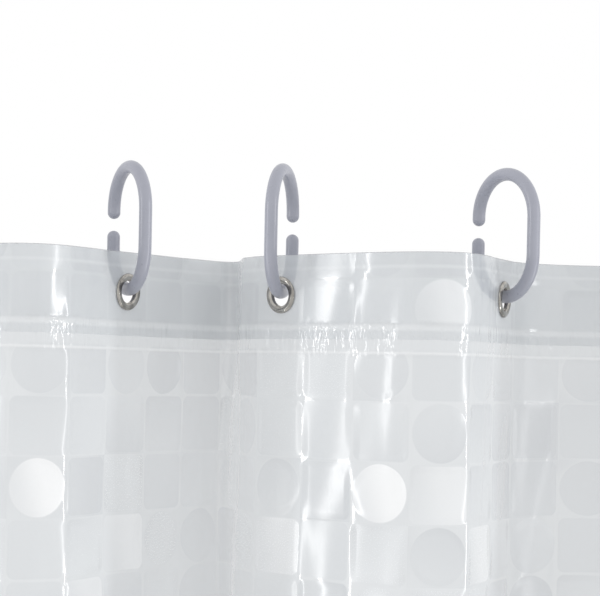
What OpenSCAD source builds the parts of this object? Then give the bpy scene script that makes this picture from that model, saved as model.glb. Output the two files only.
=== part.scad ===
// Shower curtain: one sheet of embossed film that hangs in pleats from twelve C-shaped rings.
//
// X runs along the rail, Y points away from the room and Z is up. The origin is on the rail's axis,
// halfway between the first ring and the last. The rail itself is not part of the curtain.
//
// The film is divided at the pleats, into one panel for each ring. Each division lies halfway along
// the rail between two rings, so the panels fold like a zigzag and the rings stay on the rail.

/* [Film] */
// Width of the film when it is laid flat
film_w = 1800; // [1780:5:1830]
// Height of the film from the top edge to the bottom edge
film_h = 1800; // [600:10:2100]
// Thickness of one layer of film
film_t = 0.25; // [0.2:0.05:0.3]
// Depth of the folded and welded top hem
top_hem = 39; // [34:1:50]
// Depth of the folded and welded bottom hem
bottom_hem = 25; // [15:1:50]
// Width of the folded and welded side hems
side_hem = 14; // [8:1:16]
// Distance from one eyelet to the next, laid flat
pitch = 150; // [148:1:152]
// Distance from the top edge down to the middle of the eyelets
eyelet_drop = 18.5; // [15:0.5:20]

/* [Eyelets] */
// Radius of the hole through an eyelet
hole_r = 5.2; // [5.1:0.1:5.3]
// Outer radius of the front flange and of the washer
flange_r = 8.6; // [8.4:0.1:9]
// Height of the domed front flange above the film
flange_h = 1.1; // [0.9:0.1:1.3]
// Thickness of the sheet metal
metal_t = 0.4; // [0.3:0.05:0.5]

/* [Rings] */
// Radius of the wire-like body of a ring
wire_r = 3; // [2.6:0.1:3]
// Radius of the ring's round ends, at the middle of the wire
ring_r = 20; // [19.5:0.1:21]
// Height of a ring, from the middle of the wire at the top to the middle of the wire at the bottom
ring_h = 57; // [56:0.5:60]
// Straight length at the back from the upper bend down to its dome
upper_tip = 1.2; // [0.5:0.1:2]
// Straight length at the back from the lower bend up to its dome
lower_tip = 4.3; // [3:0.1:5]
// Radius of the rail that the rings hang on
rail_r = 12.5; // [9:0.5:12.5]

/* [Hidden] */
$fn = 48;
COUNT = 12;
KINDS = ["film", "eyelet", "washer", "ring"];

// Distance along the rail from each ring to the next, as the curtain hangs partly drawn
GAPS = [92, 84, 96, 104, 71, 104, 126, 80, 95, 84, 93];
// Direction of the film at each eyelet, in degrees from the rail: the film zigzags
SLOPES = [58, -54, 62, -48, 56, -42, 67, -49, 60, -55, 62, -57];
// How far each pleat leans along the rail: over 0.5 it is fuller on its left side
LEANS = [0.5, 0.6, 0.4, 0.72, 0.75, 0.78, 0.78, 0.5, 0.42, 0.6, 0.5];
// Turn of each ring about its own vertical, in degrees: 0 is square to the rail
TURNS = [30, -22, 30, -18, 26, -14, 34, -18, 27, -22, 30, -24];

flat_half = 10;        // the film stays straight this far on each side of an eyelet
half_steps = 9;        // straight pieces from an eyelet to the division of a pleat
fold_gap = 0.4;        // between two panels, where the film bends as the curtain is drawn
flap_start = 20;       // from the first or the last eyelet to where the free edge starts to swing
flap_steps = 5;
flap_sweep = 0.35;     // share of the slope that is left at a side edge
rail_gap = 2;          // between the rail and the top of a ring, so that a turned ring clears the rail
ring_play = 1.0;       // between the wire and the top of the eyelet's hole
seat_play = 0.05;      // between an eyelet's barrel and what it goes through
washer_h = 0.5;
curl_r = 1.1;          // half the width of the eyelet's rolled rear lip
curl_h = 0.8;
arc_steps = 12;
curve_steps = 36;      // straight pieces that a pleat is measured with
solver_steps = 24;     // halvings of the interval in which a length or a point is looked for
REACH_LIMITS = [5, 300];
DIVISION_LIMITS = [0.1, 0.9];
FILM_COLOUR = [0.84, 0.87, 0.90, 0.6];
RING_COLOUR = [0.63, 0.63, 0.70];
METAL_COLOUR = [0.78, 0.76, 0.73];

layers = 2 * film_t;                          // hems are folded: an eyelet clamps two layers
side_margin = (film_w - (COUNT - 1) * pitch) / 2;
ring_top = rail_r + wire_r + rail_gap;        // height of the wire's middle at the top of a ring
ring_bottom = ring_top - ring_h;
hole_z = ring_bottom + wire_r + ring_play - hole_r;
film_top = hole_z + eyelet_drop;
film_bottom = film_top - film_h;

function node_name(kind, k) = str(kind, k < 9 ? "_0" : "_", k + 1);
function sum(list, n) = n <= 0 ? 0 : list[n - 1] + sum(list, n - 1);
function ring_x(k) = sum(GAPS, k) - sum(GAPS, COUNT - 1) / 2;
function along(angle) = [cos(angle), sin(angle)];
function unit(v) = v / norm(v);
function left_of(v) = [-v[1], v[0]];
function reversed(list) = [for (i = [len(list) - 1 : -1 : 0]) list[i]];
function length_of(line, i = 1) =
    i >= len(line) ? 0 : norm(line[i] - line[i - 1]) + length_of(line, i + 1);

// The point of the straight film at this distance from eyelet k: to its left if negative
function beside(k, distance) = [ring_x(k), 0] + distance * along(SLOPES[k]);

// A pleat is one cubic curve between two eyelets, and its handles are as long as it takes for the
// film from eyelet to eyelet to measure one pitch
function bezier(p, t) = pow(1 - t, 3) * p[0] + 3 * t * pow(1 - t, 2) * p[1]
                      + 3 * t * t * (1 - t) * p[2] + pow(t, 3) * p[3];
function bezier_way(p, t) = unit(pow(1 - t, 2) * (p[1] - p[0]) + 2 * t * (1 - t) * (p[2] - p[1])
                                 + t * t * (p[3] - p[2]));
function handles(k, reach) = [
    beside(k, flat_half),
    beside(k, flat_half + reach * LEANS[k]),
    beside(k + 1, -flat_half - reach * (1 - LEANS[k])),
    beside(k + 1, -flat_half)
];
function film_between(k, reach) =
    length_of([for (i = [0 : curve_steps]) bezier(handles(k, reach), i / curve_steps)]);
function best_reach(k, low, high, n) =
    let (middle = (low + high) / 2)
    n == 0 ? middle
    : film_between(k, middle) > pitch - 2 * flat_half ? best_reach(k, low, middle, n - 1)
    : best_reach(k, middle, high, n - 1);
function pleat(k) = handles(k, best_reach(k, REACH_LIMITS[0], REACH_LIMITS[1], solver_steps));

// A pleat is divided where it is halfway between its two rings, measured along the rail
function halfway(p, x, low, high, n) =
    let (t = (low + high) / 2)
    n == 0 ? t : bezier(p, t)[0] > x ? halfway(p, x, low, t, n - 1) : halfway(p, x, t, high, n - 1);
function division(k) =
    let (middle_x = (ring_x(k) + ring_x(k + 1)) / 2)
    halfway(pleat(k), middle_x, DIVISION_LIMITS[0], DIVISION_LIMITS[1], solver_steps);

// Each half of a pleat, as [points, directions]. It stops short of the division by half the gap
function first_half(k) =
    let (p = pleat(k), t = division(k), cut = bezier(p, t) - bezier_way(p, t) * fold_gap / 2)
    [[for (i = [0 : half_steps]) i < half_steps ? bezier(p, t * i / half_steps) : cut],
     [for (i = [0 : half_steps]) bezier_way(p, t * i / half_steps)]];
function second_half(k) =
    let (p = pleat(k), t = division(k), cut = bezier(p, t) + bezier_way(p, t) * fold_gap / 2)
    [[for (i = [0 : half_steps]) i > 0 ? bezier(p, t + (1 - t) * i / half_steps) : cut],
     [for (i = [0 : half_steps]) bezier_way(p, t + (1 - t) * i / half_steps)]];

// The straight film between the first or the last eyelet and the flap beyond it
function stub(k, side) =
    [[beside(k, side * (flap_start - fold_gap / 2))], [along(SLOPES[k])]];

function joined(a, b) = [concat(a[0], b[0]), concat(a[1], b[1])];
function panel_line(k) = joined(k == 0 ? stub(0, -1) : second_half(k - 1),
                                k == COUNT - 1 ? stub(k, 1) : first_half(k));

// A flap swings back towards the line of the rail, from the crease to the side edge
function flap_angle(k, i) = SLOPES[k] * (1 - (1 - flap_sweep) * i / flap_steps);
function flap_step(side) = side * (side_margin - side_hem - flap_start - fold_gap / 2) / flap_steps;
function flap_point(k, side, i) =
    i == 0 ? beside(k, side * (flap_start + fold_gap / 2))
    : flap_point(k, side, i - 1) + flap_step(side) * along(flap_angle(k, i - 0.5));
function flap_edge(k, side) =
    flap_point(k, side, flap_steps) + side * side_hem * along(flap_angle(k, flap_steps));

function behind(line, depth) =
    [for (i = [0 : len(line[0]) - 1]) line[0][i] + depth * left_of(line[1][i])];
function part_of(list, from, to) = to < from ? [] : [for (i = [from : to]) list[i]];

// Film with hems at the top and bottom. The last pieces of its line are doubled for a side hem
module sheet(line, doubled = 0) {
    last = len(line[0]) - 1;
    hem = concat(behind(line, 0), reversed(behind(line, layers)));
    single = part_of(behind(line, film_t), 0, last - doubled);
    double = doubled == 0 ? [] : part_of(behind(line, layers), last - doubled, last);
    middle = concat(behind(line, 0), reversed(double), reversed(single));
    translate([0, 0, film_bottom])
        linear_extrude(bottom_hem)
            polygon(hem);
    translate([0, 0, film_bottom + bottom_hem])
        linear_extrude(film_h - bottom_hem - top_hem)
            polygon(middle);
    translate([0, 0, film_top - top_hem])
        linear_extrude(top_hem)
            polygon(hem);
}

module at_eyelet(k) {
    translate([ring_x(k), 0, hole_z])
        rotate([90, 0, SLOPES[k]])
            children();
}

// The panel of film at ring k, with its folded hems and the hole that the eyelet is set in
module film(k) {
    color(FILM_COLOUR)
        difference() {
            sheet(panel_line(k));
            at_eyelet(k)
                translate([0, 0, -flange_r])
                    cylinder(r = hole_r + metal_t + seat_play, h = 2 * flange_r);
        }
}

// The free edge of the film beyond the first or the last eyelet: side is -1 for the left one
module flap(k, side) {
    points = [for (i = [0 : flap_steps]) flap_point(k, side, i)];
    ways = [for (i = [0 : flap_steps]) along(flap_angle(k, i))];
    color(FILM_COLOUR)
        sheet([concat(points, [flap_edge(k, side)]), concat(ways, [ways[flap_steps]])], 1);
}

// Half an ellipse about [r, z] in the eyelet's profile: up is 1 for the front and -1 for the rear
function lobe(r, z, half_w, half_h, up) =
    [for (i = [0 : arc_steps])
        let (a = 180 * i / arc_steps) [r + half_w * cos(a), z + up * half_h * sin(a)]];

// The eyelet: a domed front flange, a barrel through the film and a lip rolled over the washer
module eyelet(k) {
    seat = -(layers + washer_h);
    flange_c = (flange_r + hole_r) / 2;
    flange_w = (flange_r - hole_r) / 2;
    curl_c = hole_r + curl_r;
    color(METAL_COLOUR)
        at_eyelet(k)
            rotate_extrude()
                polygon(concat(
                    lobe(flange_c, 0, flange_w, flange_h, 1),
                    reversed(lobe(curl_c, seat, curl_r, curl_h, -1)),
                    lobe(curl_c, seat, curl_r - metal_t, curl_h - metal_t, -1),
                    reversed(lobe(flange_c, 0, flange_w - metal_t, flange_h - metal_t, 1))
                ));
}

// The flat washer that the eyelet is closed over, behind the film
module washer(k) {
    inner_r = hole_r + metal_t + seat_play;
    color(METAL_COLOUR)
        at_eyelet(k)
            translate([0, 0, -layers - washer_h])
                rotate_extrude()
                    translate([inner_r, 0])
                        square([flange_r - inner_r, washer_h]);
}

// A round bar along Z with a domed top end
module bar(height) {
    cylinder(r = wire_r, h = height);
    translate([0, 0, height])
        rotate_extrude()
            intersection() {
                circle(r = wire_r);
                square(wire_r);
            }
}

// Half a turn of the ring's wire, from +X over +Y to -X
module bend() {
    rotate_extrude(angle = 180)
        translate([ring_r, 0])
            circle(r = wire_r);
}

// A C-shaped ring, open at the back. It is drawn lying flat: the front leg at +X, the top at +Y
module ring(k) {
    upper = ring_top - ring_r;
    lower = ring_bottom + ring_r;
    color(RING_COLOUR)
        translate([ring_x(k), 0, 0])
            rotate([90, 0, TURNS[k] - 90]) {
                translate([0, upper, 0])
                    bend();
                translate([-ring_r, upper, 0])
                    rotate([90, 0, 0])
                        bar(upper_tip);
                translate([ring_r, lower, 0])
                    rotate([-90, 0, 0])
                        cylinder(r = wire_r, h = upper - lower);
                translate([0, lower, 0])
                    rotate([0, 0, 180])
                        bend();
                translate([-ring_r, lower, 0])
                    rotate([-90, 0, 0])
                        bar(lower_tip);
            }
}

for (k = [0 : COUNT - 1]) {
    film(k);
    eyelet(k);
    washer(k);
    ring(k);
}
flap(0, -1);  // flap_left
flap(COUNT - 1, 1);  // flap_right
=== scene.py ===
import math

import bpy
import numpy as np
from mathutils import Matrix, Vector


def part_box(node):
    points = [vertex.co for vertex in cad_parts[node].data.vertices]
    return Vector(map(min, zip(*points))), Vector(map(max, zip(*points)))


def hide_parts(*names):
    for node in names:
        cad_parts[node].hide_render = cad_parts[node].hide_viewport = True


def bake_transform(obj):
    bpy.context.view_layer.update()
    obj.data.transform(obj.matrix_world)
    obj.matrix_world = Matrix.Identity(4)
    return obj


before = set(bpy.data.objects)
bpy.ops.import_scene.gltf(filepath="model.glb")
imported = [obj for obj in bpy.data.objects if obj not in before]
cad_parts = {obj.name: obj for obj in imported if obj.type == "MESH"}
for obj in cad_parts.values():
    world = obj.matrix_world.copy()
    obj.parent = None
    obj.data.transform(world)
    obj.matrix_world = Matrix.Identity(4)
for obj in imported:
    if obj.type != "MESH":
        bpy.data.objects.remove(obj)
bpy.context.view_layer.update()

# ---- sizes, in metres and degrees ----

# The curtain: the same values as the CAD

COUNT = 12
GAPS = np.array([92, 84, 96, 104, 71, 104, 126, 80, 95, 84, 93]) / 1000
SLOPES = [58, -54, 62, -48, 56, -42, 67, -49, 60, -55, 62, -57]
LEANS = [0.5, 0.6, 0.4, 0.72, 0.75, 0.78, 0.78, 0.5, 0.42, 0.6, 0.5]
FILM_W = 1.8
FILM_H = 1.8
PITCH = 0.15
SIDE_MARGIN = (FILM_W - (COUNT - 1) * PITCH) / 2
FLAT_HALF = 0.010
FLAP_START = 0.020
FLAP_SWEEP = 0.35
EYELET_DROP = 0.0185
TOP_HEM = 0.039
BOTTOM_HEM = 0.025
SIDE_HEM = 0.014

# The sheets that stand for the CAD film
FLAP_STEPS = 40        # straight pieces in a free edge
HOLE_R = 0.0063        # the hole in the film, under the eyelet's flange
LEFT_OUT_R = 0.0037    # faces nearer than this to the middle of an eyelet are left out
FRONT_GAP = 0.0001     # how far the sheet lies behind the film's plain front face
HEM_BEHIND = 0.00030   # how far the top and bottom hems lie behind the sheet
SIDE_BEHIND = 0.0005   # how far the side hems lie behind it
TURN = 0.0004          # from a folded edge to the next line of points
TURN_RUN = 0.0015      # over this distance a hem goes from the edge to its full depth

# The embossed pattern: the size of one cell, and how many faces of the sheet cross it
CELL_W = 0.030
CELL_H = 0.0275
FACES_ACROSS = 12
FACES_DOWN = 3
CELL_STIFFNESS = 0.6   # 0 for film that bends evenly, 1 for cells that stay flat
STIFF_BETWEEN = (0.045, 0.075)   # distances down the film over which that sets in
# One repeat of the pattern: o is a circle and . a rounded square; O and # are those painted near white as
# a painted highlight
MOTIF = [
    "..........O....",
    "o.oo.o...o.o..o",
    "......o...o....",
    "O....o.o.O#...o",
    "..#oo.o#..o#.o.",
    ".#..o....o...o.",
    "o...#..o..o..#.",
    "..o....o.#....o",
    "#..o.o....o..o.",
]
# How far the O and # cells are painted towards white, a painted highlight
PAINTED_HIGHLIGHT_SHARE = {"O": 0.85, "#": 0.4}
FIRST_COLUMN = 20   # the column of the sheet where a repeat begins
REPEAT_SHIFT = 4    # each repeat starts this many columns beside the one above it

FILM_LINES = (0.57, 0.60, 0.625, 1)
FILM_PLAIN = (0.53, 0.562, 0.59, 1)
FILM_DARK = (0.43, 0.462, 0.495, 1)
FILM_LIGHT = (0.57, 0.602, 0.63, 1)
# The near-white of the painted highlight on the O and # cells
FILM_PAINTED_HIGHLIGHT = (0.93, 0.94, 0.95, 1)
FILM_WELDED = (0.68, 0.705, 0.725, 1)
FILM_DOUBLED = (0.92, 0.94, 0.96, 1)
FILM_ALPHA = 0.60
FILM_IOR = 1.56
RING_DARK = (0.345, 0.355, 0.415, 1)
RING_LIGHT = (0.365, 0.375, 0.435, 1)
NICKEL_BRIGHT = (0.52, 0.50, 0.465, 1)
NICKEL_DULL = (0.33, 0.315, 0.29, 1)
FLOOR_DARK = (0.80, 0.80, 0.80, 1)
FLOOR_LIGHT = (0.84, 0.84, 0.84, 1)

# The studio: white all round, a floor, and a tall narrow light on each side that makes upright glints
WORLD_LIGHT = 0.935    # strength of the world as light
WORLD_SEEN = 1.0       # strength of the world as the background that the camera sees
FLOOR_SIZE = 12
FLOOR_Z = -1.95
STRIP_SIZE = (0.07, 2.2)
STRIP_TARGET = (-0.06, -0.05, -0.6)
STRIPS = {
    "strip_right": ((1.40, -0.42, -0.6), 8.6),
    "strip_left": ((-1.55, -0.50, -0.6), 7.4),
}
CAMERA_X = -0.0585
CAMERA_Y = -1.0
CAMERA_LENS = 129
CAMERA_DOWN = 1.13     # degrees below level
CAMERA_TURN = 1.15     # degrees to the left

# Outlines of the cells, in millimetres: a circle a little flattened, and a square with round corners
CIRCLE_R = 14.3
CIRCLE_SQUEEZE = 1.05
SQUARE_HALF_W = 14.75
SQUARE_HALF_H = 13.5
CORNER_R = 4.0

# The weld of the top hem, in millimetres below the top edge
WELD_UPPER = 33.5
WELD_MIDDLE = 39.0
WELD_LOWER = 45.0
FOLD_LINE = 6.5        # a faint line below the folded edge

# Rounding of the film's line: its even step, how many steps it reaches, and where it is free to act
EVEN_STEP = 0.001
ROUND_STEPS = 24
ROUND_SPREAD = 8
ROUND_FROM = 0.010
ROUND_FULL = 0.034


# ---- the line of the film, seen from above ----

def smooth(x, low, high):
    t = np.clip((x - low) / (high - low), 0, 1)
    return t * t * (3 - 2 * t)


def eyelet_at(k):
    """Distance of eyelet k from the left edge, along the film."""
    return SIDE_MARGIN + PITCH * k


def from_eyelet(s):
    """Distance along the film from s to the nearest eyelet, or to where the next one would be."""
    return np.abs((s - SIDE_MARGIN + PITCH / 2) % PITCH - PITCH / 2)


def along(degrees):
    return np.array([math.cos(math.radians(degrees)), math.sin(math.radians(degrees))])


def ring_x(k):
    return GAPS[:k].sum() - GAPS.sum() / 2


def beside(k, distance):
    return np.array([ring_x(k), 0.0]) + distance * along(SLOPES[k])


def curve(points, steps=400):
    t = np.linspace(0, 1, steps + 1)[:, None]
    weights = [(1 - t) ** 3, 3 * t * (1 - t) ** 2, 3 * t * t * (1 - t), t ** 3]
    return sum(w * p for w, p in zip(weights, points))


def length_of(line):
    return np.linalg.norm(np.diff(line, axis=0), axis=1).sum()


def pleat(k):
    """The film between the straight stretches at eyelets k and k + 1, one pitch from eyelet to eyelet."""
    low, high = 0.005, 0.3
    for _ in range(30):
        reach = (low + high) / 2
        line = curve([
            beside(k, FLAT_HALF),
            beside(k, FLAT_HALF + reach * LEANS[k]),
            beside(k + 1, -FLAT_HALF - reach * (1 - LEANS[k])),
            beside(k + 1, -FLAT_HALF),
        ])
        if length_of(line) > PITCH - 2 * FLAT_HALF:
            high = reach
        else:
            low = reach
    return line


def free_edge(k, side):
    """The film from the crease beside an end eyelet out to the side edge."""
    step = (SIDE_MARGIN - FLAP_START) / FLAP_STEPS
    points = [beside(k, side * FLAP_START)]
    for i in range(FLAP_STEPS):
        share = min(1.0, (i + 0.5) * step / (SIDE_MARGIN - SIDE_HEM - FLAP_START))
        points.append(points[-1] + side * step * along(SLOPES[k] * (1 - (1 - FLAP_SWEEP) * share)))
    return np.array(points)


def film_line():
    """The whole front line of the film as distances along it, points, and directions."""
    line = [free_edge(0, -1)[::-1]]
    line += [pleat(k) for k in range(COUNT - 1)]
    line += [free_edge(COUNT - 1, 1)]
    distance, line = rounded(np.vstack(line))
    way = np.gradient(line, axis=0)
    way /= np.linalg.norm(way, axis=1)[:, None]
    return distance, line, way


def distances(line):
    return np.concatenate([[0], np.cumsum(np.linalg.norm(np.diff(line, axis=0), axis=1))])


def rounded(line):
    """Rounds off the tight turns of the pleats, away from the eyelets and the side edges."""
    before = distances(line)
    before *= FILM_W / before[-1]
    at = np.arange(round(FILM_W / EVEN_STEP) + 1) * EVEN_STEP
    even = np.stack([np.interp(at, before, line[:, axis]) for axis in (0, 1)], axis=-1)
    reach = np.arange(-ROUND_STEPS, ROUND_STEPS + 1)
    share = np.exp(-0.5 * (reach / ROUND_SPREAD) ** 2)
    share /= share.sum()
    padded = np.pad(even, ((ROUND_STEPS, ROUND_STEPS), (0, 0)), mode="edge")
    soft = np.stack([np.convolve(padded[:, axis], share, mode="valid") for axis in (0, 1)], axis=-1)
    between = (at > SIDE_MARGIN) * (at < FILM_W - SIDE_MARGIN)
    free = smooth(from_eyelet(at), ROUND_FROM, ROUND_FULL) * between
    line = even + free[:, None] * (soft - even)
    marks = [0] + [round(eyelet_at(k) / EVEN_STEP) for k in range(COUNT)] + [len(at) - 1]
    measured = distances(line)
    return np.interp(measured, measured[marks], at[marks]), line


LINE_AT, LINE, LINE_WAY = film_line()
CORNER_AT = np.arange(round(FILM_W / CELL_W) + 1) * CELL_W


def eyelet_height():
    low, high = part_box("eyelet_01")
    return (low[2] + high[2]) / 2


FILM_TOP = eyelet_height() + EYELET_DROP


# ---- the shape of the sheet ----

def soft_waves(s, d):
    """How far the film stands behind its plain pleats: nothing at the eyelets, more towards the bottom."""
    slow = 0.0042 * np.sin(2 * math.pi * (s / 0.19 + 0.35 * np.sin(d / 0.33) + 0.10))
    slow += 0.0030 * np.sin(2 * math.pi * (s / 0.083 - d / 1.30 + 0.25))
    slow += 0.0022 * np.sin(2 * math.pi * (s / 0.31 + d / 0.72))
    quick = 0.00045 * np.sin(2 * math.pi * (s / 0.047 + 0.3 * np.sin(d / 0.05)))
    quick += 0.00035 * np.sin(2 * math.pi * (s / 0.029 + d / 0.11 + 0.4))
    free = 1 - (1 - smooth(from_eyelet(s), 0.012, 0.040)) * (1 - smooth(d, 0.035, 0.120))
    return slow * smooth(d, 0.06, 0.75) + (quick * smooth(d, -0.05, 0.03) - creases(s, d)) * free


def creases(s, d):
    """Soft upright creases a few centimetres apart, deepest in the hem, that catch the light."""
    turns = s / 0.0585 + 0.3 * np.sin(s / 0.130) + 0.11 * np.sin(d / 0.060)
    off = np.abs(turns % 1 - 0.5)
    sharp = 0.65 + 0.35 * np.sin(s / 0.021 + 1.3 * np.sin(d / 0.045))
    return 0.0012 * (1 - smooth(off, 0.0, 0.12)) * sharp * (1 - 0.65 * smooth(d, 0.035, 0.180))


def on_line(s, d, axis):
    """Where the film is seen from above: below the hem it turns mostly along the lines between cells."""
    stiff = CELL_STIFFNESS * smooth(d, *STIFF_BETWEEN)
    corners = np.interp(CORNER_AT, LINE_AT, LINE[:, axis])
    return (1 - stiff) * np.interp(s, LINE_AT, LINE[:, axis]) + stiff * np.interp(s, CORNER_AT, corners)


def place(s, d, depth):
    """Where the point of film at s along it and d below its top edge is, depth behind its front face."""
    x = on_line(s, d, 0)
    y = on_line(s, d, 1)
    wx = np.interp(s, LINE_AT, LINE_WAY[:, 0])
    wy = np.interp(s, LINE_AT, LINE_WAY[:, 1])
    size = np.hypot(wx, wy)
    back = depth + soft_waves(s, d)
    deeper = 1 + 0.07 * smooth(d, 0.15, 1.3)
    tilt = -0.065 * y * np.exp(-d / 0.30)
    return np.stack([x - wy / size * back, y * deeper + wx / size * back, FILM_TOP - d + tilt], axis=-1)


def folded(t, size):
    """Turns a place on the unfolded film into (place on the hung film, how far it is folded behind)."""
    inside = np.clip(t, 0, size)
    over = np.where(t < 0, -t, np.where(t > size, t - size, 0))
    at = np.where(t < 0, -t, np.where(t > size, 2 * size - t, inside))
    return at, np.clip(over / TURN_RUN, 0, 1)


def down_lines():
    """Distances down the unfolded film of the rows of points, from the inner end of the top hem."""
    top = [0, TURN, 0.004, 0.0075, 0.0115, 0.015, 0.0185, 0.022, 0.026, 0.0305, 0.035]
    rows = int((FILM_H - TOP_HEM) / CELL_H * FACES_DOWN)
    body = TOP_HEM + CELL_H / FACES_DOWN * np.arange(rows + 1)
    last = [body[-1] + (FILM_H - TURN - body[-1]) / 2, FILM_H - TURN, FILM_H]
    hem_back = [-v for v in top[:1:-1]]
    bottom = FILM_H + np.array([TURN, 0.005, 0.010, 0.015, 0.020, BOTTOM_HEM])
    return np.concatenate([[-TOP_HEM], hem_back, [-TURN], top, body, last, bottom])


def across_lines(first, last):
    """Distances along the film of the columns of points, with a folded hem where it is a side edge."""
    step = CELL_W / FACES_ACROSS
    lines = np.arange(round(first / step), round(last / step) + 1) * step
    if first == 0:
        lines = np.concatenate([[-SIDE_HEM, -SIDE_HEM / 2, -TURN, 0, TURN], lines[1:]])
    if last == FILM_W:
        edge = last + np.array([-TURN, 0, TURN, SIDE_HEM / 2, SIDE_HEM])
        lines = np.concatenate([lines[:-1], edge])
    return lines


def hole_opened(s, d):
    """Moves the points next to an eyelet out to the edge of the hole in the film."""
    for k in range(COUNT):
        ds, dd = s - eyelet_at(k), d - EYELET_DROP
        reach = np.hypot(ds, dd)
        inside = (reach < HOLE_R) & (reach > 1e-5)
        out = np.where(inside, HOLE_R / np.maximum(reach, 1e-9), 1.0)
        s, d = eyelet_at(k) + ds * out, EYELET_DROP + dd * out
    return s, d


def kind_of_cell(s, d):
    row = int(math.floor((d - TOP_HEM) / CELL_H)) + 1
    column = int(math.floor(s / CELL_W)) - FIRST_COLUMN + REPEAT_SHIFT * (row // len(MOTIF))
    return MOTIF[row % len(MOTIF)][column % len(MOTIF[0])]


def film_piece(name, first, last):
    """A mesh of the film between two distances along it, with its hems folded behind."""
    across, down = across_lines(first, last), down_lines()
    u, v = np.meshgrid(across, down)
    s, side_fold = folded(u, FILM_W)
    d, end_fold = folded(v, FILM_H)
    s, d = hole_opened(s, d)
    depth = FRONT_GAP + HEM_BEHIND * end_fold + SIDE_BEHIND * side_fold
    points = place(s, d, depth).reshape(-1, 3)
    columns = len(across)
    faces, shapes, painted_highlights = [], [], []
    for i in range(len(down) - 1):
        for j in range(columns - 1):
            middle_s = abs((across[j] + across[j + 1]) / 2)
            middle_s = min(middle_s, 2 * FILM_W - middle_s)
            middle_d = abs((down[i] + down[i + 1]) / 2)
            middle_d = min(middle_d, 2 * FILM_H - middle_d)
            if near_eyelet(middle_s, middle_d):
                continue
            a = i * columns + j
            faces.append((a, a + columns, a + columns + 1, a + 1))
            kind = kind_of_cell(middle_s, middle_d)
            shapes.append(1.0 if kind in "oO" else 0.0)
            # How far this face's cell is painted towards white, a painted highlight
            painted_highlights.append(PAINTED_HIGHLIGHT_SHARE.get(kind, 0.0))
    mesh = bpy.data.meshes.new(name)
    mesh.from_pydata([tuple(p) for p in points], [], faces)
    mesh.shade_smooth()
    for label, values in (("round", shapes), ("highlight_paint", painted_highlights)):
        mesh.attributes.new(label, "FLOAT", "FACE").data.foreach_set("value", values)
    corner = np.empty(len(mesh.loops), np.int32)
    mesh.loops.foreach_get("vertex_index", corner)
    cell = np.stack([s / CELL_W, (d - TOP_HEM) / CELL_H + 1], axis=-1).reshape(-1, 2)
    mesh.uv_layers.new(name="cells").data.foreach_set("uv", cell[corner].astype(np.float32).ravel())
    mesh.update()
    piece = bpy.data.objects.new(name, mesh)
    bpy.context.scene.collection.objects.link(piece)
    return piece


def near_eyelet(s, d):
    nearest = round((s - SIDE_MARGIN) / PITCH)
    if nearest < 0 or nearest >= COUNT:
        return False
    return math.hypot(s - eyelet_at(nearest), d - EYELET_DROP) < LEFT_OUT_R


# ---- materials ----

class Nodes:
    """Short ways to write a material's nodes."""

    def __init__(self, name):
        self.material = bpy.data.materials.new(name)
        self.material.use_nodes = True
        self.tree = self.material.node_tree
        self.shader = self.tree.nodes["Principled BSDF"]

    def add(self, kind, **settings):
        made = self.tree.nodes.new(kind)
        for key, value in settings.items():
            setattr(made, key, value)
        return made

    def put(self, socket, value):
        if isinstance(value, bpy.types.NodeSocket):
            self.tree.links.new(value, socket)
        else:
            socket.default_value = value

    def math(self, operation, *values, clamp=False):
        made = self.add("ShaderNodeMath", operation=operation, use_clamp=clamp)
        for socket, value in zip(made.inputs, values):
            self.put(socket, value)
        return made.outputs[0]

    def vector(self, operation, *values):
        made = self.add("ShaderNodeVectorMath", operation=operation)
        for socket, value in zip(made.inputs, values):
            self.put(socket, value)
        return made.outputs[0]

    def ramp(self, value, low, high, out_low=0.0, out_high=1.0):
        made = self.add("ShaderNodeMapRange", interpolation_type="SMOOTHSTEP")
        names = ("Value", "From Min", "From Max", "To Min", "To Max")
        for key, given in zip(names, (value, low, high, out_low, out_high)):
            self.put(made.inputs[key], given)
        return made.outputs["Result"]

    def mix(self, share, first, second):
        made = self.add("ShaderNodeMix", data_type="RGBA")
        for key, given in ((0, share), (6, first), (7, second)):
            self.put(made.inputs[key], given)
        return made.outputs[2]

    def noise(self, vector, scale, detail=2.0, roughness=0.5):
        made = self.add("ShaderNodeTexNoise")
        self.put(made.inputs["Vector"], vector)
        for key, given in (("Scale", scale), ("Detail", detail), ("Roughness", roughness)):
            self.put(made.inputs[key], given)
        return made.outputs["Fac"]

    def bump(self, height, distance, strength=1.0):
        made = self.add("ShaderNodeBump")
        for key, given in (("Height", height), ("Distance", distance), ("Strength", strength)):
            self.put(made.inputs[key], given)
        return made.outputs["Normal"]


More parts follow.
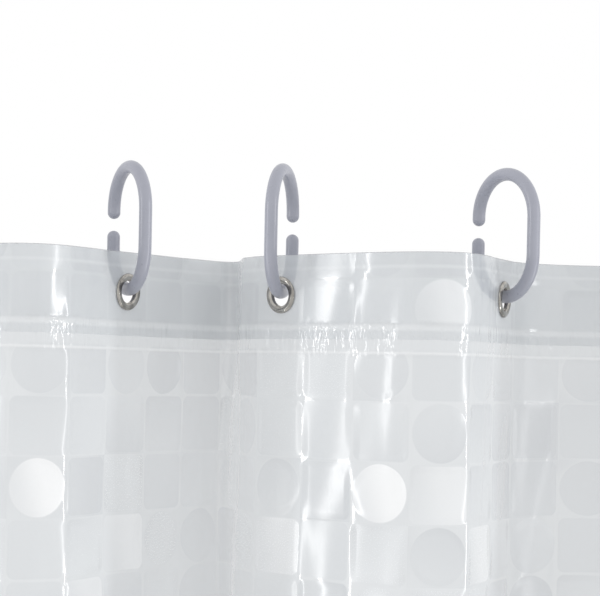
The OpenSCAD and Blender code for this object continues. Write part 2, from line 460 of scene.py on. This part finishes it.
def film_material():
    """Frosted film: cells each turned a little its own way, with lighter and glossier lines between. Each
    cell's colour is a little lighter on its raised side, painted shading of its tilt, and the O and #
    cells carry a painted highlight, near white and brighter towards one side.
    """
    n = Nodes("film_embossed")
    cells = n.add("ShaderNodeUVMap", uv_map="cells").outputs["UV"]
    x, y = cell_place(n, cells)
    down = millimetres_down(n, cells)
    # How far this face's cell is painted towards white, a painted highlight
    painted_highlights = n.add("ShaderNodeAttribute", attribute_name="highlight_paint").outputs["Fac"]
    printed = n.math("ADD", n.ramp(down, 30.0, 34.0, 0.7, 0.0), n.ramp(down, 42.5, 45.5, 0.0, 1.0))
    edge = cell_edge(n, x, y)
    cell = n.ramp(edge, -0.9, 0.2, 1.0, 0.0)
    dome = n.math("MULTIPLY", n.ramp(edge, -4.5, 0.4, 1.0, 0.0), printed)
    raised = n.math("MULTIPLY", cell, printed)
    patches = n.noise(n.vector("MULTIPLY", cells, (0.55, 0.7, 0.0)), 1.0, detail=1.0)
    sharp = n.ramp(patches, 0.35, 0.60, 0.25, 1.0)

    chance = n.add("ShaderNodeTexWhiteNoise", noise_dimensions="2D")
    n.put(chance.inputs["Vector"], n.vector("FLOOR", cells))
    turn = n.add("ShaderNodeSeparateXYZ")
    n.put(turn.inputs[0], n.vector("SUBTRACT", chance.outputs["Color"], (0.5, 0.5, 0.5)))
    tilted = n.math("ADD", n.math("MULTIPLY", x, turn.outputs[0]), n.math("MULTIPLY", y, turn.outputs[1]))
    grain = n.noise(n.vector("MULTIPLY", cells, (30.0, 27.5, 0.0)), 1.6, detail=3.0)
    height = n.math("MULTIPLY", n.math("MULTIPLY", raised, sharp), 0.028)
    height = n.math("ADD", height, n.math("MULTIPLY", n.math("MULTIPLY", tilted, dome), 0.12))
    height = n.math("ADD", height, n.math("MULTIPLY", grain, 0.009))
    height = n.math("ADD", height, weld_relief(n, cells, down))

    level = chance.outputs["Value"]
    # Random tone per cell, plus painted shading: lighter on the side each cell is tilted up
    tone_and_painted_tilt_shade = n.math("ADD", level, n.math("MULTIPLY", tilted, 0.045), clamp=True)
    cell_colour = n.mix(tone_and_painted_tilt_shade, FILM_DARK, FILM_LIGHT)
    across = n.math("SUBTRACT", x, n.math("MULTIPLY", y, 0.3))
    # The painted highlight, brighter towards the right of each cell than the left
    painted_highlight_mask = n.math("MULTIPLY", painted_highlights, n.ramp(across, -14.0, 6.0, 0.35, 1.0))
    cell_colour = n.mix(n.math("MULTIPLY", painted_highlight_mask, cell), cell_colour, FILM_PAINTED_HIGHLIGHT)
    covered = n.math("MAXIMUM", cell, n.math("SUBTRACT", 1.0, sharp))
    colour = n.mix(printed, FILM_PLAIN, n.mix(covered, FILM_LINES, cell_colour))
    colour = n.mix(weld_lines(n, down), colour, FILM_WELDED)
    doubled = n.ramp(down, TOP_HEM * 1000 - 0.5, TOP_HEM * 1000 + 0.5, 0.34, 0.0)
    n.put(n.shader.inputs["Base Color"], n.mix(doubled, colour, FILM_DOUBLED))
    rough = n.math("ADD", n.math("MULTIPLY", raised, n.ramp(level, 0.0, 1.0, 0.09, 0.19)), 0.055)
    n.put(n.shader.inputs["Roughness"], n.math("ADD", rough, n.math("MULTIPLY", grain, 0.05)))
    n.put(n.shader.inputs["Normal"], n.bump(height, 0.001))
    n.put(n.shader.inputs["Alpha"], FILM_ALPHA)
    n.put(n.shader.inputs["IOR"], FILM_IOR)
    n.put(n.shader.inputs["Specular IOR Level"], 1.0)
    return n.material


def cell_place(n, cells):
    """Millimetres to the right of and below the middle of a cell."""
    local = n.vector("SUBTRACT", n.vector("FRACTION", cells), (0.5, 0.5, 0.0))
    split = n.add("ShaderNodeSeparateXYZ")
    n.put(split.inputs[0], n.vector("MULTIPLY", local, (CELL_W * 1000, CELL_H * 1000, 0.0)))
    return split.outputs[0], split.outputs[1]


def cell_edge(n, x, y):
    """Millimetres outside the edge of a cell, which is a circle or a rounded square."""
    circle = n.math("SUBTRACT", n.math("SQRT", n.math("ADD", n.math("POWER", x, 2.0),
                    n.math("POWER", n.math("MULTIPLY", y, CIRCLE_SQUEEZE), 2.0))), CIRCLE_R)
    out_x = n.math("MAXIMUM", n.math("SUBTRACT", n.math("ABSOLUTE", x), SQUARE_HALF_W - CORNER_R), 0.0)
    out_y = n.math("MAXIMUM", n.math("SUBTRACT", n.math("ABSOLUTE", y), SQUARE_HALF_H - CORNER_R), 0.0)
    square = n.math("SUBTRACT", n.math("SQRT", n.math("ADD", n.math("POWER", out_x, 2.0),
                    n.math("POWER", out_y, 2.0))), CORNER_R)
    is_round = n.add("ShaderNodeAttribute", attribute_name="round").outputs["Fac"]
    return n.math("ADD", n.math("MULTIPLY", circle, is_round),
                  n.math("MULTIPLY", square, n.math("SUBTRACT", 1.0, is_round)))


def millimetres_down(n, cells):
    """Millimetres below the top edge of the film."""
    split = n.add("ShaderNodeSeparateXYZ")
    n.put(split.inputs[0], cells)
    return n.math("ADD", n.math("MULTIPLY", split.outputs[1], CELL_H * 1000), (TOP_HEM - CELL_H) * 1000)


def weld_lines(n, down):
    """The upper and the lower line of the top hem's weld, and a faint one below the folded edge."""
    upper = n.ramp(n.math("ABSOLUTE", n.math("SUBTRACT", down, WELD_UPPER)), 0.5, 2.2, 1.0, 0.0)
    lower = n.ramp(n.math("ABSOLUTE", n.math("SUBTRACT", down, WELD_LOWER)), 0.0, 1.1, 0.9, 0.0)
    fold = n.ramp(n.math("ABSOLUTE", n.math("SUBTRACT", down, FOLD_LINE)), 0.0, 1.4, 0.5, 0.0)
    return n.math("ADD", n.math("ADD", upper, lower), fold, clamp=True)


def weld_relief(n, cells, down):
    """The weld of the top hem: raised lines with upright puckers between."""
    puckers = n.noise(n.vector("MULTIPLY", cells, (7.0, 1.6, 0.0)), 1.0, detail=2.0)
    band = n.ramp(n.math("ABSOLUTE", n.math("SUBTRACT", down, WELD_MIDDLE)), 4.5, 9.0, 1.0, 0.0)
    lines = n.math("MULTIPLY", weld_lines(n, down), 0.12)
    return n.math("ADD", lines, n.math("MULTIPLY", n.math("MULTIPLY", band, puckers), 1.1))


def plastic_material():
    """Satin moulded plastic, pale lavender grey, with faint mottling and fine texture."""
    n = Nodes("ring_plastic")
    place_of = n.add("ShaderNodeTexCoord").outputs["Object"]
    cloud = n.noise(place_of, 90.0, detail=3.0)
    n.put(n.shader.inputs["Base Color"], n.mix(n.ramp(cloud, 0.3, 0.7), RING_DARK, RING_LIGHT))
    n.put(n.shader.inputs["Roughness"], n.ramp(n.noise(place_of, 400.0), 0.2, 0.8, 0.27, 0.31))
    n.put(n.shader.inputs["Normal"], n.bump(n.noise(place_of, 900.0, detail=1.0), 0.00001))
    n.put(n.shader.inputs["IOR"], 1.5)
    n.put(n.shader.inputs["Specular IOR Level"], 0.8)
    return n.material


def nickel_material():
    """Nickel-plated pressed metal with a fine grain and small dull spots."""
    n = Nodes("eyelet_nickel")
    place_of = n.add("ShaderNodeTexCoord").outputs["Object"]
    dull = n.noise(place_of, 260.0, detail=4.0)
    n.put(n.shader.inputs["Base Color"], n.mix(n.ramp(dull, 0.35, 0.7), NICKEL_BRIGHT, NICKEL_DULL))
    n.put(n.shader.inputs["Metallic"], 1.0)
    n.put(n.shader.inputs["Roughness"], n.ramp(dull, 0.3, 0.75, 0.12, 0.26))
    n.put(n.shader.inputs["Normal"], n.bump(n.noise(place_of, 900.0, detail=2.0), 0.000012))
    return n.material


def floor_material():
    n = Nodes("floor_matte")
    place_of = n.add("ShaderNodeTexCoord").outputs["Object"]
    n.put(n.shader.inputs["Base Color"], n.mix(n.noise(place_of, 3.0), FLOOR_DARK, FLOOR_LIGHT))
    n.put(n.shader.inputs["Roughness"], 0.8)
    return n.material


# ---- the pieces ----


def film_pieces(material):
    """One piece from each eyelet to the next, with the pleat between, and the two side edges."""
    made = []
    for k in range(COUNT - 1):
        piece = film_piece(f"film_bay_{k + 1:02d}", eyelet_at(k), eyelet_at(k + 1))
        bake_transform(piece)
        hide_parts(f"film_{k + 1:02d}")
        made.append(piece)
    for side, k, name in ((-1, 0, "left"), (1, COUNT - 1, "right")):
        first, last = (0, eyelet_at(0)) if side < 0 else (eyelet_at(k), FILM_W)
        piece = film_piece(f"film_edge_{name}", first, last)
        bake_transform(piece)
        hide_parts(f"flap_{name}")
        made.append(piece)
    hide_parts(f"film_{COUNT:02d}")
    for piece in made:
        piece.data.materials.append(material)
    return made


def finish_nodes(prefixes, material):
    for name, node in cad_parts.items():
        if name.startswith(prefixes):
            for slot_of in node.material_slots:
                slot_of.material = material
            node.data.shade_smooth()


# ---- the studio ----

def area_light(name, place_of, target, size, power):
    light = bpy.data.lights.new(name, "AREA")
    light.shape = "RECTANGLE"
    light.size, light.size_y = size
    light.energy = power
    lamp = bpy.data.objects.new(name, light)
    lamp.location = place_of
    towards = np.array(target, float) - np.array(place_of, float)
    lamp.rotation_euler = look_along(towards)
    bpy.context.scene.collection.objects.link(lamp)


def look_along(way):
    """Rotation of a lamp that looks along way, upright."""
    level = math.hypot(way[0], way[1])
    return (math.pi / 2 + math.atan2(way[2], level), 0, math.atan2(-way[0], way[1]))


def studio():
    """White all round, brighter to the camera than to the film, with a tall narrow light on each side."""
    world = bpy.data.worlds.new("studio")
    bpy.context.scene.world = world
    bpy.context.scene.view_settings.view_transform = "Standard"
    world.use_nodes = True
    tree = world.node_tree
    background = tree.nodes["Background"]
    background.inputs["Color"].default_value = (1, 1, 1, 1)
    seen = tree.nodes.new("ShaderNodeLightPath").outputs["Is Camera Ray"]
    strength = tree.nodes.new("ShaderNodeMapRange")
    strength.inputs["To Min"].default_value = WORLD_LIGHT
    strength.inputs["To Max"].default_value = WORLD_SEEN
    tree.links.new(seen, strength.inputs["Value"])
    tree.links.new(strength.outputs["Result"], background.inputs["Strength"])
    bpy.ops.mesh.primitive_plane_add(size=FLOOR_SIZE, location=(0, 0, FLOOR_Z))
    floor = bpy.context.object
    floor.name = "studio_floor"
    floor.data.materials.append(floor_material())
    for name, (place_of, power) in STRIPS.items():
        area_light(name, place_of, STRIP_TARGET, STRIP_SIZE, power)


def camera():
    """The photograph's view: close to the curtain, level with its top edge, looking slightly down."""
    data = bpy.data.cameras.new("view")
    data.sensor_width = 36
    data.lens = CAMERA_LENS
    data.clip_start = 0.05
    eye = bpy.data.objects.new("view", data)
    eye.location = (CAMERA_X, CAMERA_Y, FILM_TOP)
    eye.rotation_mode = "ZXY"
    eye.rotation_euler = (math.radians(90 - CAMERA_DOWN), 0, math.radians(CAMERA_TURN))
    bpy.context.scene.collection.objects.link(eye)
    bpy.context.scene.camera = eye


film_pieces(film_material())
finish_nodes(("ring_",), plastic_material())
finish_nodes(("eyelet_", "washer_"), nickel_material())
studio()
camera()
